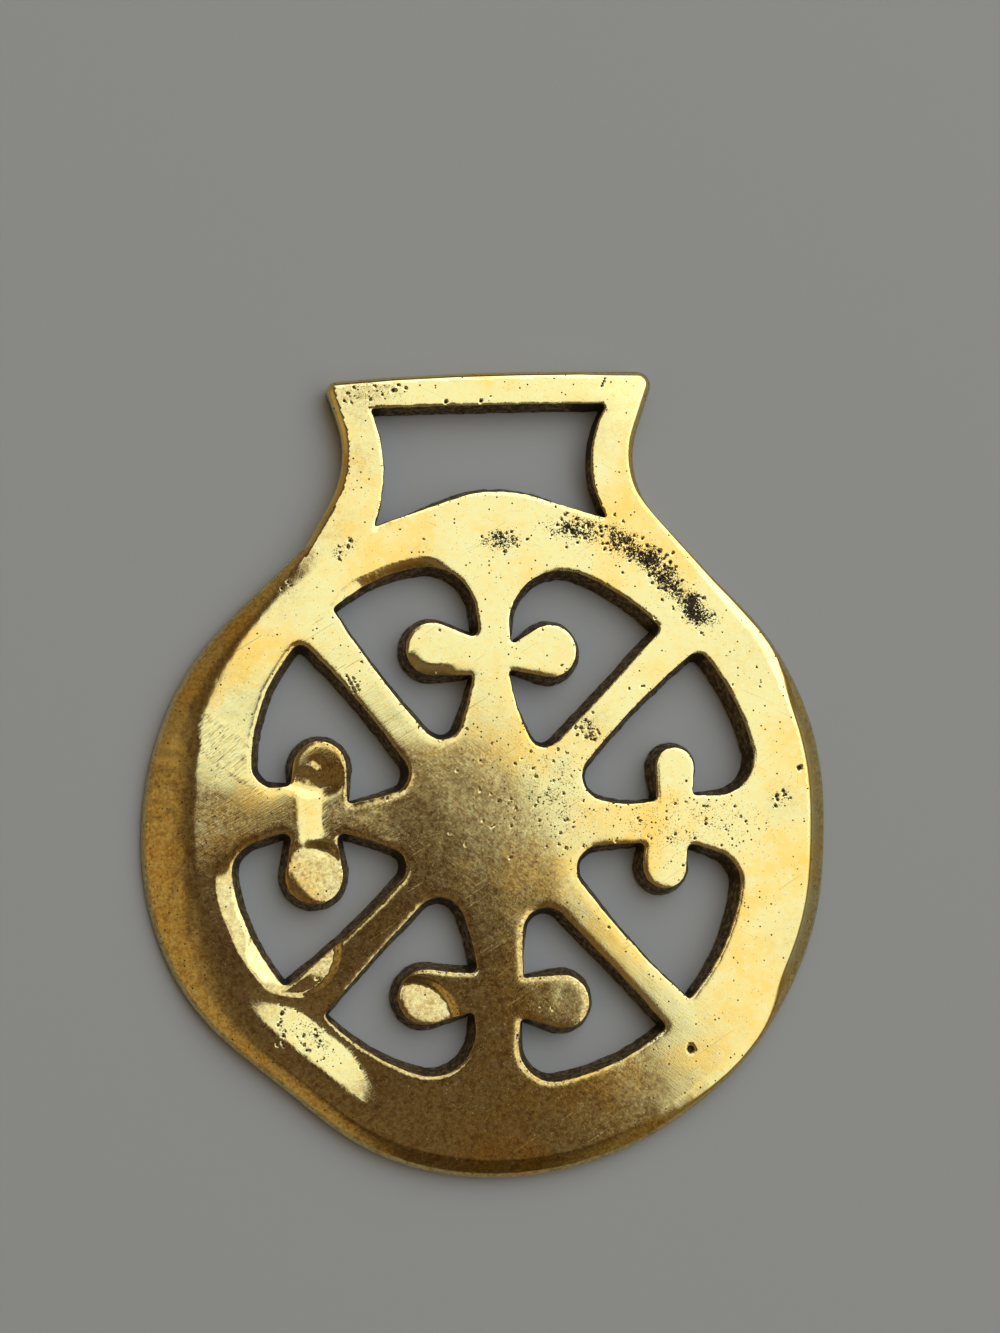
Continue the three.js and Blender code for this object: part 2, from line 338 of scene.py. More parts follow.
# Lobes and other places that lean: middle, flat reach, whole reach, and fall a millimetre to +X and +Y.
LEANS = [
    (-20.4, -6.7, 3.4, 4.8, 0.067, 0.040),
    (-20.8, 7.4, 3.4, 5.0, -0.01, -0.025),
    (-20.4, 6.4, 0.3, 1.2, 0.09, 0.07),
    (-9.2, -22.9, 4.7, 5.4, 0.05, 0.05),
    (10.6, -19.8, 2.5, 4.0, 0.0, 0.004),
    (-22.8, -14.6, 4.9, 5.2, 0.055, 0.055),
]
# Stained patches: middle, reach, and how strong.
STAINS = [
    (-15.5, 50.0, 6.5, 0.55), (-16.5, 42.0, 5.0, 0.40), (-19.0, 34.5, 5.0, 0.35), (-25.0, 27.0, 5.0, 0.40),
    (12.0, 11.5, 4.0, 0.30), (6.0, 12.0, 5.0, 0.25), (-8.0, 29.0, 5.0, 0.20), (12.5, 46.0, 4.0, 0.20),
    (34.5, 2.5, 4.0, 0.25), (36.0, -14.0, 6.0, 0.20), (30.0, 20.0, 6.0, 0.15), (9.0, -20.0, 5.0, 0.50),
]
# Where tarnish, and the face's dark reflection painted in as tarnish, lie on the face: left of a slanting
# line and below another.
TARNISH_AND_REFLECTION_RIGHT = 4.5
TARNISH_AND_REFLECTION_TOP = 9.3
POLISHED_OFF = 0.06     # how far the middle of the face lies below the CAD's
LOWEST_FACE = 1.5       # the face stays between this height
HEADROOM = 0.01         # and this far below the CAD's top
EDGE_DIP = 0.04         # how far the face dips at an opening's edge,
EDGE_DIP_REACH = 0.22   # and how soon that fades
RIM_TOP = 27.0          # the rim's fall fades out above this, over the next few millimetres
RIM_FADE = 6.0
DEEPEST_RIM = 1.15


def ridge_fall(inward, width, back):
    """0 outside a ridge, rising evenly to 1 over width, then easing back to 0; and where it was filed."""
    fall = np.clip(inward / width, 0, 1) * falloff(inward - width, back)
    filed = smooth(inward / 0.5) * falloff(inward - width, 1.0)
    return fall, filed


def shaped_face(xy, edge):
    """The face's height, tarnish with a painted dark reflection, and filing at each point, where edge is the
    distance to an opening.
    """
    x, y = xy[:, 0], xy[:, 1]
    radius = np.hypot(x - DISC[0], y - DISC[1])
    angle = np.degrees(np.arctan2(y - DISC[1], x - DISC[0]))
    waver = noise(xy, 3.5, 7)
    crumble = noise(xy, 0.9, 8)
    filed = np.zeros(len(xy))
    z = np.full(len(xy), TOP - POLISHED_OFF)
    z += 0.016 * noise(xy, 9.0, 1) + 0.008 * noise(xy, 4.2, 2) + 0.003 * noise(xy, 1.9, 3)
    z -= EDGE_DIP * np.exp(-edge / EDGE_DIP_REACH)
    for px, py, heading, whole, reach, width, back, depth in SLOPES:
        turn = math.radians(heading)
        along = (x - px) * math.cos(turn) + (y - py) * math.sin(turn)
        aside = (y - py) * math.cos(turn) - (x - px) * math.sin(turn)
        near = falloff(np.abs(aside) - whole, reach - whole)
        inward = along + 0.2 * waver + 0.12 * crumble
        fall, bare = ridge_fall(inward, width * np.sqrt(np.maximum(near, 0.01)), back)
        z -= (depth * fall + 0.012 * bare * noise(xy, 0.7, 9)) * near
        filed = np.maximum(filed, bare * near)
    for px, py, reach, width, depth in WORN_EDGES:
        near = falloff(np.hypot(x - px, y - py) - 0.5 * reach, 0.5 * reach)
        wear = np.clip(1 - edge / (width * (0.9 + 0.15 * waver)), 0, 1) * near
        z -= depth * wear
        filed = np.maximum(filed, 0.4 * smooth(5 * wear))
    for px, py, flat, reach, fall_x, fall_y in LEANS:
        dx, dy = x - px, y - py
        near = falloff(np.hypot(dx, dy) - flat, reach - flat)
        z -= (fall_x * dx + fall_y * dy + math.hypot(fall_x, fall_y) * flat) * near
        filed = np.maximum(filed, 0.08 * near)
    directions, radii = np.array(RIM_STARTS).T
    first = directions[0]
    starts = np.interp((angle - first) % 360 + first, directions, radii)
    past = np.maximum(radius + 0.2 * waver + 0.22 * crumble - starts, 0)
    past = past * falloff(y - RIM_TOP, RIM_FADE)
    z -= np.minimum(0.025 * past + 0.042 * past ** 2, DEEPEST_RIM)
    # painted reflection: the face's lower left and its left rim are painted dark, partly real tarnish and
    # partly the dark reflection they show; stains follow
    to_right = smooth((TARNISH_AND_REFLECTION_RIGHT + 1.5 * waver - x - 0.5 * y) / 5.0 + 0.5)
    top_line = TARNISH_AND_REFLECTION_TOP - 9.0 * smooth((-x - 19.0) / 7.0) + 0.6 * np.maximum(-x - 26.0, 0)
    to_top = smooth((top_line + 0.8 * waver - y) / 2.5 + 0.5)
    on_rim = smooth(past / 0.6) * (1 - 0.5 * smooth(past / 3.0)) * smooth(-x / 8.0)
    tarnish_and_reflection = np.maximum(to_right * to_top * (1 - filed), on_rim)
    for px, py, reach, strength in STAINS:
        tarnish_and_reflection = np.maximum(tarnish_and_reflection, strength * falloff(np.hypot(x - px, y - py), reach))
    return np.clip(z, LOWEST_FACE, TOP - HEADROOM), tarnish_and_reflection, filed


# ---- The walls ----
EDGE_ROUND = 0.16                   # radius of an opening's worn face edge
ROUND_TURNS = (30, 60, 90)          # degrees through which that edge has turned at each of its rings
WALL_SHARES = (0.2, 0.4, 0.6, 0.8)  # how far down an opening's wall its rings lie
BACK_SHARE = 0.65                   # how much of its narrowing an opening keeps at the back
FALL_TURNS = (12, 28, 45, 62, 78, 90)   # degrees through which the outside edge has turned
FALL_WIDTHS = (0.7, 2.3)            # that edge's width on the hanger and on the disc,
FALL_DEPTHS = (0.75, 1.7)           # and its depth
FALL_RUN = 0.92                     # the share of the way out that this edge takes,
UPRIGHT_RUN = 0.96                  # and the share at the middle of the wall below it
BACK_BREAK = 0.3                    # how far the outside is broken in at the back


def opening_levels(face, throat, top):
    """The rings of an opening's wall below its face edge, each N x 3."""
    run = throat - face
    width = np.linalg.norm(run, axis=1, keepdims=True)
    share_of_round = np.minimum(EDGE_ROUND / np.maximum(width, 1e-6), 0.5)
    rings = []
    for turn in ROUND_TURNS:
        a = math.radians(turn)
        plan = face + run * share_of_round * math.sin(a)
        rings.append(np.column_stack([plan, top - EDGE_ROUND * (1 - math.cos(a))]))
    for part in WALL_SHARES + (1.0,):
        plan = face + run * (share_of_round + (1 - share_of_round) * part)
        rings.append(np.column_stack([plan, (top - EDGE_ROUND) * (1 - part) + THROAT * part]))
    rings.append(np.column_stack([face + run * BACK_SHARE, np.zeros(len(face))]))
    return rings


def outside_levels(face, throat, top):
    """The rings of the outside wall: rounded at the left, chamfered at the right, and squarer between."""
    x, y = face[:, :1], face[:, 1:]
    at_right = smooth((x - 8.0) / 6.0)
    on_disc_side = smooth((y + 24.0) / 8.0) * smooth((22.0 - y) / 10.0)
    on_hanger = smooth((y - 36.0) / 5.0)
    chamfer = at_right * np.maximum(on_disc_side, on_hanger)
    square = at_right * smooth((y + 34.0) / 8.0) * (1 - chamfer)
    run = throat - face
    width = np.linalg.norm(run, axis=1, keepdims=True)
    drop = np.interp(width[:, 0], FALL_WIDTHS, FALL_DEPTHS)
    rings = []
    for turn in FALL_TURNS:
        a = math.radians(turn)
        t = turn / 90
        out_square = 0.05 + 0.93 * math.sqrt(t)
        out = math.sin(a) * (1 - chamfer - square) + (0.02 + 0.96 * t) * chamfer + out_square * square
        fall_round = 0.35 * math.sin(a) + 0.65 * (1 - math.cos(a))
        fall = fall_round * (1 - chamfer - square) + (0.04 + 0.9 * t) * chamfer + out_square ** 6 * square
        rings.append(np.column_stack([face + run * FALL_RUN * out, top - drop * fall[:, 0]]))
    low = rings[-1][:, 2]
    rings.append(np.column_stack([face + run * UPRIGHT_RUN, low * 0.5 + THROAT * 0.5]))
    rings.append(np.column_stack([throat, np.full(len(face), THROAT)]))
    inward = -run / np.maximum(width, 1e-6)
    rings.append(np.column_stack([throat + BACK_BREAK * inward, np.zeros(len(face))]))
    return rings


def rough(points, amount, seed):
    """Points moved about by the roughness of a cast and filed wall."""
    moved = points.copy()
    for axis in range(3):
        moved[:, axis] += amount * noise(points, 0.9, seed + axis)
        moved[:, axis] += 0.45 * amount * noise(points, 0.42, seed + 10 + axis)
    return moved


def cut_by_hand(face, throat, seed):
    """An opening's outline with the small waver of a hand-made pattern and the file."""
    waver = np.column_stack([noise(face, 2.4, seed), noise(face, 2.4, seed + 1)])
    fine = np.column_stack([noise(face, 0.55, seed + 2), noise(face, 0.55, seed + 3)])
    shift = 0.05 * waver + 0.05 * fine
    return face + shift, throat + shift


# painted shade: the slot's wall is painted black in its shaded corner
SHADED_SLOT_CORNER = (12.5, 47.0, 5.0)     # where the slot's wall is black: middle and reach


def corners_of(ring, reach=1.3):
    """How sharply an outline turns at each of its points, from 0 on a straight to 1 in a corner."""
    k = max(1, int(round(reach / STEP_EDGE)))
    before = ring - np.roll(ring, k, axis=0)
    after = np.roll(ring, -k, axis=0) - ring
    turn = np.arctan2(before[:, 0] * after[:, 1] - before[:, 1] * after[:, 0], (before * after).sum(axis=1))
    return smooth(turn / 1.4)


# ---- The mesh ----
SLIVER = 2e-4       # twice the area under which a triangle between outline points is left out


class Mesher:
    """Collects points and triangles, and what the brass is like at each point."""

    def __init__(self):
        self.points, self.triangles = [], []
        self.layers = {"dirt_and_corner_shade": [], "side": [], "tarnish_and_reflection": [], "brink": [], "filed": []}
        self.count = 0

    def add_points(self, points, dirt_and_corner_shade, side, tarnish_and_reflection, brink=0.0, filed=0.0):
        """Adds points with what the brass is like at each, and gives the number of the first."""
        first = self.count
        self.points.append(np.asarray(points, float))
        for label, value in zip(self.layers, (dirt_and_corner_shade, side, tarnish_and_reflection, brink, filed)):
            self.layers[label].append(np.broadcast_to(np.asarray(value, float), len(points)))
        self.count += len(points)
        return first

    def add_wall(self, upper, lower, count, faces_in):
        """Triangles between two closed rings of as many points, given the number each ring starts at."""
        i = np.arange(count)
        j = (i + 1) % count
        quads = np.column_stack([upper + i, lower + i, lower + j, upper + i, lower + j, upper + j])
        triangles = quads.reshape(-1, 3)
        self.triangles.append(triangles[:, ::-1] if faces_in else triangles)

    def add_cap(self, rings, ring_starts, inner, inner_start, up):
        """Triangles between closed rings of points already added, and the inner points."""
        plan = np.vstack(rings + [inner])
        index = np.concatenate([s + np.arange(len(r)) for s, r in zip(ring_starts, rings)]
                               + [inner_start + np.arange(len(inner))])
        edges, first = [], 0
        for r in rings:
            edges += [(first + k, first + (k + 1) % len(r)) for k in range(len(r))]
            first += len(r)
        made = geometry.delaunay_2d_cdt([Vector(p) for p in plan.tolist()], edges, [], 0, 1e-7, True)
        back = np.array([o[0] for o in made[3]])
        triangles = back[np.array(made[2])]
        a, b, c = plan[triangles[:, 0]], plan[triangles[:, 1]], plan[triangles[:, 2]]
        turn = (b[:, 0] - a[:, 0]) * (c[:, 1] - a[:, 1]) - (b[:, 1] - a[:, 1]) * (c[:, 0] - a[:, 0])
        on_rings = (triangles < first).all(axis=1)
        keep = ~on_rings
        middles = plan[triangles[on_rings]].mean(axis=1)
        keep[on_rings] = inside(middles, rings) & (abs(turn[on_rings]) > SLIVER)
        triangles = np.where((turn > 0)[:, None], triangles, triangles[:, ::-1])[keep]
        self.triangles.append(index[triangles if up else triangles[:, ::-1]])


# The rings of points that make a pit a small bowl: share of its radius, how many points, share of its depth,
# and how dirty they are.
BOWL_RINGS = [(0.0, 1, 1.0, 1.0), (0.6, 6, 0.85, 1.0), (1.0, 8, 0.0, 0.6)]
BOWL_DEPTH = 0.6            # a pit's depth, as a share of its radius
BOWL_ROOM = 1.35            # the face's own points keep this many radii away from a pit
FACE_JITTER = 0.12          # how far the face's points stray, as a share of their spacing
OPENING_ROUGHNESS = 0.05
OUTSIDE_ROUGHNESS = 0.02
BACK_HOLLOW = 0.05          # the back is hollow by this much
FACE, OPENING_WALL, BACK = 0, 1, 2      # a point's side; the outside wall is polished, so it counts as face


def face_grid(faces, pits):
    """Points over the face, clear of the outlines and the pits."""
    edge_points = np.vstack(faces)
    grid = hexagons(edge_points.min(axis=0), edge_points.max(axis=0), STEP_FACE)
    grid = grid + rng.uniform(-FACE_JITTER, FACE_JITTER, grid.shape) * STEP_FACE
    grid = grid[inside(grid, faces)]
    grid = grid[nearest(grid, edge_points)[0] > 0.6 * STEP_EDGE]
    away, nearby = nearest(grid, pits)
    return grid[away > pits[nearby, 2] * BOWL_ROOM]


def bowls_of(pits):
    """Points for every pit's bowl, how far each one lies below the face, and its dirt."""
    places, drops, dirt_and_corner_shade = [], [], []
    for x, y, radius in pits:
        start = rng.uniform(0, math.tau)
        for share, count, drop, soiled in BOWL_RINGS:
            for k in range(count):
                a = start + math.tau * k / count
                r = radius * share * rng.uniform(0.8, 1.15)
                places.append((x + r * math.cos(a), y + r * math.sin(a)))
                drops.append(drop * radius * BOWL_DEPTH)
                dirt_and_corner_shade.append(soiled)
    return places, drops, dirt_and_corner_shade


def add_outline(mesher, face, throat, opening_points, is_opening):
    """One outline with its wall. Gives where its face ring and its back ring start, and the back ring."""
    top, tarnish_and_reflection, filed = shaped_face(face, nearest(face, opening_points)[0])
    levels = (opening_levels if is_opening else outside_levels)(face, throat, top)
    brink = 1.0 if is_opening else 0.0
    start = mesher.add_points(np.column_stack([face, top]), 0.0, FACE, tarnish_and_reflection, brink, filed)
    corner_x, corner_y, corner_reach = SHADED_SLOT_CORNER
    in_corner = falloff(np.hypot(face[:, 0] - corner_x, face[:, 1] - corner_y), corner_reach)
    shaded_corners = np.maximum(corners_of(face), smooth(2.5 * in_corner))
    upper = start
    for depth, ring in enumerate(levels):
        last = depth == len(levels) - 1
        side = BACK if last else (OPENING_WALL if is_opening else FACE)
        roughened = depth > 0 if is_opening else depth >= len(FALL_TURNS)
        if roughened and not last:
            ring = rough(ring, OPENING_ROUGHNESS if is_opening else OUTSIDE_ROUGHNESS, 60)
        # painted shade: opening walls are painted darker in the outline's corners and in the slot's corner,
        # more so further down
        wall_corner_shade = shaded_corners * min(1.0, 0.35 * depth) if is_opening else 0.0
        # painted shade: walls below the face carry its tarnish and painted reflection, and are painted
        # darker toward +X and further down
        wall_tarnish_and_shade = np.maximum(tarnish_and_reflection, 0.7 * smooth(ring[:, 0] / 20.0) * smooth(depth / 3.0))
        lower = mesher.add_points(ring, wall_corner_shade, side, wall_tarnish_and_shade)
        mesher.add_wall(upper, lower, len(face), faces_in=is_opening)
        upper = lower
    return start, upper, levels[-1][:, :2]


def casting():
    """The whole brass: walls round every outline, a cap for the face and a cap for the back."""
    cut = [outlines[0]] + [cut_by_hand(f, t, 20 + 5 * k) for k, (f, t) in enumerate(outlines[1:])]
    faces = [f for f, _ in cut]
    opening_points = np.vstack(faces[1:])

    pits = scattered_pits(faces)
    grid = face_grid(faces, pits)
    bowls, bowl_drops, bowl_dirt = bowls_of(pits)
    inner = np.vstack([grid, bowls])
    dirt_and_corner_shade = np.concatenate([np.zeros(len(grid)), bowl_dirt])
    edge = nearest(inner, opening_points)[0]
    height, tarnish_and_reflection, filed = shaped_face(inner, edge)
    height = height - np.concatenate([np.zeros(len(grid)), bowl_drops])

    mesher = Mesher()
    made = [add_outline(mesher, face, throat, opening_points, k > 0) for k, (face, throat) in enumerate(cut)]
    face_starts, back_starts, back_rings = zip(*made)
    brink = falloff(edge, 0.5)
    inner_start = mesher.add_points(np.column_stack([inner, height]), dirt_and_corner_shade, FACE, tarnish_and_reflection, brink, filed)
    mesher.add_cap(faces, face_starts, inner, inner_start, up=True)

    back_edges = np.vstack(back_rings)
    back = hexagons(back_edges.min(axis=0), back_edges.max(axis=0), STEP_BACK)
    back = back[inside(back, back_rings)]
    back = back[nearest(back, back_edges)[0] > 0.5 * STEP_BACK]
    hollow = smooth(nearest(back, back_edges)[0] / 1.2) * (0.6 + 0.4 * noise(back, 3.0, 90))
    back_points = np.column_stack([back, BACK_HOLLOW * hollow])
    back_start = mesher.add_points(back_points, 0.2, BACK, 1.0)
    mesher.add_cap(list(back_rings), back_starts, back, back_start, up=False)
    return mesher


def build(name, mesher):
    points = np.clip(np.vstack(mesher.points) * MM, np.array(CAD_BOX[0]), np.array(CAD_BOX[1]))
    triangles = np.vstack(mesher.triangles)
    mesh = bpy.data.meshes.new(name)
    mesh.from_pydata(points.tolist(), [], triangles.tolist())
    layers = {label: np.concatenate(parts) for label, parts in mesher.layers.items()}
    layers["pitted"] = pitting(np.vstack(mesher.points)[:, :2])
    for label, values in layers.items():
        mesh.attributes.new(label, "FLOAT", "POINT").data.foreach_set("value", values.astype(np.float32))
    mesh.polygons.foreach_set("use_smooth", [True] * len(mesh.polygons))
    mesh.update()
    piece = bpy.data.objects.new(name, mesh)
    bpy.context.scene.collection.objects.link(piece)
    return piece


brass_piece = build("horse_brass_casting", casting())
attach(brass_piece, "root")
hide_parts(NODE)


# ---- Node trees ----
class Nodes:
    """Short calls for making a node tree."""

    def __init__(self, tree):
        self.tree = tree

    def make(self, kind, inputs=None, **settings):
        made = self.tree.nodes.new(kind)
        for key, value in settings.items():
            setattr(made, key, value)
        for key, value in (inputs or {}).items():
            self.put(made.inputs[key], value)
        return made

    def put(self, socket, value):
        if isinstance(value, bpy.types.NodeSocket):
            self.tree.links.new(value, socket)
        else:
            socket.default_value = value

    def math(self, operation, a, b=0.0, c=0.0, clamp=False):
        made = self.make("ShaderNodeMath", {0: a, 1: b, 2: c}, operation=operation, use_clamp=clamp)
        return made.outputs[0]

    def step(self, value, low, high, to_low=0.0, to_high=1.0):
        made = self.make("ShaderNodeMapRange", {
            "Value": value, "From Min": low, "From Max": high, "To Min": to_low, "To Max": to_high,
        }, interpolation_type="SMOOTHSTEP")
        return made.outputs["Result"]

    def mix(self, share, a, b):
        made = self.make("ShaderNodeMix", {0: share, 6: a, 7: b}, data_type="RGBA")
        return made.outputs[2]

    def noise(self, vector, scale, detail, roughness):
        made = self.make("ShaderNodeTexNoise", {
            "Vector": vector, "Scale": scale, "Detail": detail, "Roughness": roughness,
        })
        return made.outputs["Fac"]

    def strokes(self, vector, degrees, length, width, detail):
        """Noise drawn out into strokes that run at a number of degrees from +X."""
        made = self.make("ShaderNodeMapping", {
            "Vector": vector, "Rotation": (0, 0, math.radians(degrees)), "Scale": (length, width, 1.0),
        }, vector_type="TEXTURE")
        return self.noise(made.outputs[0], 1.0, detail, 0.6)

    def attribute(self, name):
        return self.make("ShaderNodeAttribute", attribute_name=name).outputs["Fac"]


# ---- The brass ----
BRIGHT = (0.82, 0.70, 0.31, 1)
ORANGE = (0.90, 0.58, 0.14, 1)
PALE = (0.80, 0.72, 0.40, 1)
WALL = (0.27, 0.17, 0.05, 1)
# patina, painted also where the face shows a dark reflection
PATINA_AND_REFLECTION = (0.45, 0.275, 0.085, 1)
RUSSET = (0.36, 0.17, 0.055, 1)
CRUST = (0.045, 0.030, 0.012, 1)
SOOT = (0.010, 0.008, 0.006, 1)


def brass_material():
    material = bpy.data.materials.new("brass")
    material.use_nodes = True
    n = Nodes(material.node_tree)
    shader = material.node_tree.nodes["Principled BSDF"]
    coords = n.make("ShaderNodeTexCoord").outputs["Object"]
    mm = n.make("ShaderNodeVectorMath", {0: coords, "Scale": 1 / MM}, operation="SCALE").outputs[0]
    dirt_and_corner_shade = n.attribute("dirt_and_corner_shade")
    side = n.attribute("side")
    pitted = n.attribute("pitted")
    tarnish_and_reflection = n.attribute("tarnish_and_reflection")
    brink = n.attribute("brink")
    filed = n.attribute("filed")
    wall = n.step(side, 0.15, 0.9)

    # tarnish that drifts over the polished face, then patina painted over real tarnish and over the face's
    # dark reflection
    drift = n.noise(mm, 0.09, 3.0, 0.6)
    blotch = n.noise(mm, 0.5, 4.0, 0.65)
    mottle = n.noise(mm, 1.3, 4.0, 0.7)
    colour = n.mix(n.step(drift, 0.45, 0.72), BRIGHT, ORANGE)
    colour = n.mix(n.step(mottle, 0.50, 0.75, 0.0, 0.7), colour, ORANGE)
    colour = n.mix(n.step(mottle, 0.48, 0.28, 0.0, 0.6), colour, PALE)
    stain = n.step(n.noise(mm, 2.4, 4.0, 0.75), 0.36, 0.64, 0.10, 0.85)
    # painted reflection: patina is painted where the mask is high, partly for real tarnish and partly for
    # the face's dark reflection
    colour = n.mix(n.math("MULTIPLY", stain, n.math("MULTIPLY_ADD", tarnish_and_reflection, 0.85, 0.06)), colour, PATINA_AND_REFLECTION)
    colour = n.mix(n.step(blotch, 0.52, 0.8, 0.0, 0.6), colour, PALE)
    freckle = n.step(n.noise(mm, 1.5, 5.0, 0.8), 0.50, 0.60, 0.0, 0.65)
    colour = n.mix(n.math("MULTIPLY", freckle, tarnish_and_reflection), colour, RUSSET)

    # specks: small pits that polish doesn't reach, thicker where the face is pitted
    specks = n.make("ShaderNodeTexVoronoi", {"Vector": mm, "Scale": 2.2, "Randomness": 1.0}, feature="F1")
    fine = n.make("ShaderNodeTexVoronoi", {"Vector": mm, "Scale": 5.6, "Randomness": 1.0}, feature="F1")
    chosen = n.make("ShaderNodeSeparateColor", {0: specks.outputs["Color"]}).outputs[0]
    chosen_fine = n.make("ShaderNodeSeparateColor", {0: fine.outputs["Color"]}).outputs[0]
    spread = n.noise(mm, 0.22, 2.0, 0.5)
    threshold = n.math("MULTIPLY_ADD", spread, -0.35, 1.08)
    threshold = n.math("SUBTRACT", threshold, n.math("MULTIPLY", pitted, 0.30))
    dot = n.math("MULTIPLY", n.step(specks.outputs["Distance"], 0.30, 0.18),
                 n.math("GREATER_THAN", chosen, threshold))
    fine_level = n.math("SUBTRACT", 0.97, n.math("MULTIPLY", pitted, 0.42))
    dot_fine = n.math("MULTIPLY", n.step(fine.outputs["Distance"], 0.42, 0.26),
                      n.math("GREATER_THAN", chosen_fine, fine_level))
    dots = n.math("MAXIMUM", dot, n.math("MULTIPLY", dot_fine, n.math("MULTIPLY_ADD", pitted, 0.6, 0.4)))
    dots = n.math("MULTIPLY", dots, n.math("SUBTRACT", 1.0, wall))

    # soot: a crust where the face is pitted and along its edges, dirt in the pits, soot on the walls, and
    # painted shade in the walls' corners and lower down
    grime = n.noise(mm, 1.6, 4.0, 0.7)
    speck = n.math("MULTIPLY_ADD", n.noise(mm, 0.8, 2.0, 0.5), 0.5, n.noise(mm, 4.4, 3.0, 0.7))
    crusted = n.math("MAXIMUM", pitted, n.math("MULTIPLY", brink, 0.62))
    crust = n.step(n.math("MULTIPLY_ADD", crusted, 0.31, speck), 1.02, 1.06)
    # painted shade: the walls' corner shade is darkened in together with their soot
    wall_soot_and_shade = n.math("MULTIPLY_ADD", dirt_and_corner_shade, 0.7, n.math("MULTIPLY_ADD", grime, 1.6, -0.38))
    wall_dark = n.math("MULTIPLY", wall, n.step(wall_soot_and_shade, 0.1, 0.6))
    face_dark = n.math("MULTIPLY", n.step(dirt_and_corner_shade, 0.25, 0.75), n.math("SUBTRACT", 1.0, wall))
    on_face = n.math("MAXIMUM", face_dark, dots)
    dark = n.math("MAXIMUM", on_face, n.math("MAXIMUM", crust, wall_dark), clamp=True)
    colour = n.mix(wall, colour, WALL)

    # scratches that hold a little tarnish
    deep = n.step(n.strokes(mm, 33, 11.0, 0.2, 1.0), 0.72, 0.75)
    hairs = n.math("MAXIMUM", deep, n.step(n.strokes(mm, -24, 6.0, 0.17, 1.0), 0.72, 0.75))
    colour = n.mix(n.math("MULTIPLY", hairs, 0.35), colour, PATINA_AND_REFLECTION)
    soil = n.mix(n.step(grime, 0.35, 0.65), SOOT, CRUST)
    n.put(shader.inputs["Base Color"], n.mix(dark, colour, soil))
    n.put(shader.inputs["Metallic"], n.math("MULTIPLY_ADD", dark, -0.9, 1.0))
    n.put(shader.inputs["Specular IOR Level"], n.math("MULTIPLY_ADD", dark, -0.38, 0.5))

    # relief: fine polish marks in three directions, the scratches, file marks and the walls' rough skin
    lines = [n.strokes(mm, turn, 3.0, 0.11, 3.0) for turn in (31, -38, 74)]
    brushed = n.math("ADD", lines[0], n.math("MULTIPLY", lines[1], 0.7))
    brushed = n.math("ADD", brushed, n.math("MULTIPLY", lines[2], 0.5))
    grain = n.noise(mm, 3.2, 4.0, 0.65)
    relief = n.math("MULTIPLY_ADD", brushed, 1.2, grain)
    relief = n.math("SUBTRACT", relief, n.math("MULTIPLY", deep, 1.6))
    file_marks = n.math("MULTIPLY", n.strokes(mm, 43, 3.0, 0.28, 2.0), 9.0)
    relief = n.math("ADD", relief, n.math("MULTIPLY", file_marks, filed))
    relief = n.math("SUBTRACT", relief, n.math("MULTIPLY", n.math("MAXIMUM", dots, crust), 0.6))
    coarse = n.math("MULTIPLY", wall, n.math("MULTIPLY", n.noise(mm, 2.4, 4.0, 0.7), 6.0))
    bump = n.make("ShaderNodeBump", {
        "Strength": 0.2, "Distance": 0.00001, "Height": n.math("ADD", relief, coarse),
    })
    n.put(shader.inputs["Normal"], bump.outputs[0])
    rough = n.math("MULTIPLY_ADD", n.noise(mm, 0.7, 3.0, 0.6), 0.10, 0.03)
    rough = n.math("ADD", rough, n.math("MULTIPLY", wall, 0.22))
    rough = n.math("ADD", rough, n.math("MULTIPLY", dark, 0.35), clamp=True)
    n.put(shader.inputs["Roughness"], rough)
    return material


def floor_material():
    material = bpy.data.materials.new("floor")
    material.use_nodes = True
    shader = material.node_tree.nodes["Principled BSDF"]
    shader.inputs["Base Color"].default_value = (0.33, 0.335, 0.345, 1)
    shader.inputs["Roughness"].default_value = 0.9
    return material


brass_piece.data.materials.append(brass_material())

# ---- Floor ----
HALF_FLOOR = 1.2        # in metres
FLOOR_GAP = 0.02 * MM   # keeps the floor and the back from showing through each other
floor_mesh = bpy.data.meshes.new("floor")
floor_corners = [Vector((x, y, 0)) * HALF_FLOOR for x, y in ((-1, -1), (1, -1), (1, 1), (-1, 1))]
floor_mesh.from_pydata(floor_corners, [], [(0, 1, 2, 3)])
floor_mesh.materials.append(floor_material())
floor = bpy.data.objects.new("floor", floor_mesh)
floor.location.z = -FLOOR_GAP
bpy.context.scene.collection.objects.link(floor)

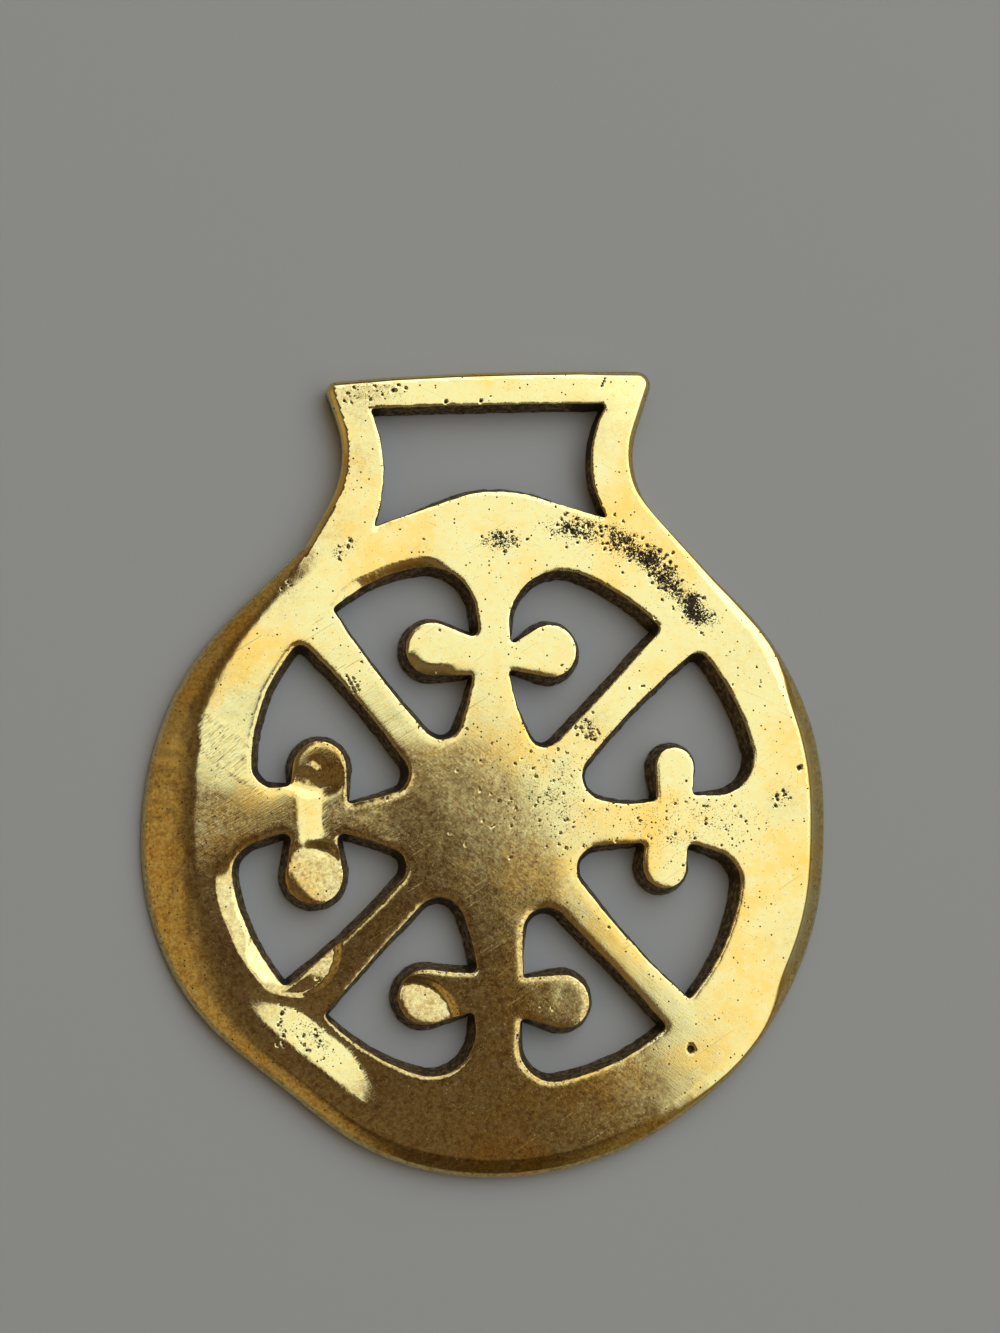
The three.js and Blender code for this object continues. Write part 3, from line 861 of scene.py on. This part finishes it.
# ---- Camera: over the brass, a little to its left and toward its foot, with no roll ----
camera_data = bpy.data.cameras.new("camera")
camera_data.sensor_fit = "VERTICAL"
camera_data.sensor_height = 36.0
camera_data.lens = 57.66
camera_data.clip_start = 0.01
camera = bpy.data.objects.new("camera", camera_data)
bpy.context.scene.collection.objects.link(camera)
camera_at = Vector((-29.0, -6.7, 248.4)) * MM
aim = Vector((1.0, 18.3, 1.5)) * MM
forward = (aim - camera_at).normalized()
right = forward.cross(Vector((0, 1, 0))).normalized()
turned = Matrix((right, right.cross(forward), -forward)).transposed().to_4x4()
camera.matrix_world = Matrix.Translation(camera_at) @ turned
bpy.context.scene.camera = camera

# ---- Light: a soft bright sky from above and beyond, darker over the near left side ----
world = bpy.data.worlds.new("studio")
bpy.context.scene.world = world
world.use_nodes = True
world.node_tree.nodes.clear()
w = Nodes(world.node_tree)
toward = w.make("ShaderNodeTexCoord").outputs["Generated"]
x, y, z = w.make("ShaderNodeSeparateXYZ", {0: toward}).outputs
east = w.step(w.math("MULTIPLY_ADD", y, 0.6, x), 0.133, 0.151)
north_edge = w.math("SUBTRACT", y, w.math("MINIMUM", w.math("MULTIPLY", x, 0.34), 0.0290))
north = w.math("MULTIPLY", w.step(north_edge, 0.0360, 0.0450), w.step(x, -0.055, -0.035))
high = w.step(z, 0.30, 0.62)
sky = w.math("MULTIPLY", w.math("MAXIMUM", east, north), high)
west = w.math("MULTIPLY", w.step(x, -0.15, -0.60), w.step(y, 0.30, 0.0, 0.45, 1.0))
near = w.mix(w.step(x, 0.0, -0.15), (0.104, 0.072, 0.052, 1), (0.128, 0.094, 0.060, 1))
near = w.mix(w.step(y, 0.0, -0.14), near, (0.170, 0.126, 0.082, 1))
near = w.mix(w.step(y, -0.22, -0.50), near, (0.075, 0.052, 0.028, 1))
near = w.mix(w.step(x, 0.20, 0.50), near, (0.210, 0.155, 0.070, 1))
near = w.mix(west, near, (0.46, 0.34, 0.16, 1))
tint = w.mix(sky, near, (1.18, 1.27, 1.28, 1))
tint = w.mix(w.step(z, 0.10, 0.02), tint, (0.22, 0.22, 0.21, 1))
background = w.make("ShaderNodeBackground", {"Color": tint, "Strength": 1.0})
w.make("ShaderNodeOutputWorld", {"Surface": background.outputs[0]})

key_data = bpy.data.lights.new("key", "AREA")
key_data.energy = 4.5
key_data.size = 1.2
key = bpy.data.objects.new("key", key_data)
key.location = (0.55, 0.65, 0.8)        # in metres
key.rotation_euler = (-key.location).to_track_quat("-Z", "Y").to_euler()
bpy.context.scene.collection.objects.link(key)

bpy.context.scene.view_settings.view_transform = "Standard"
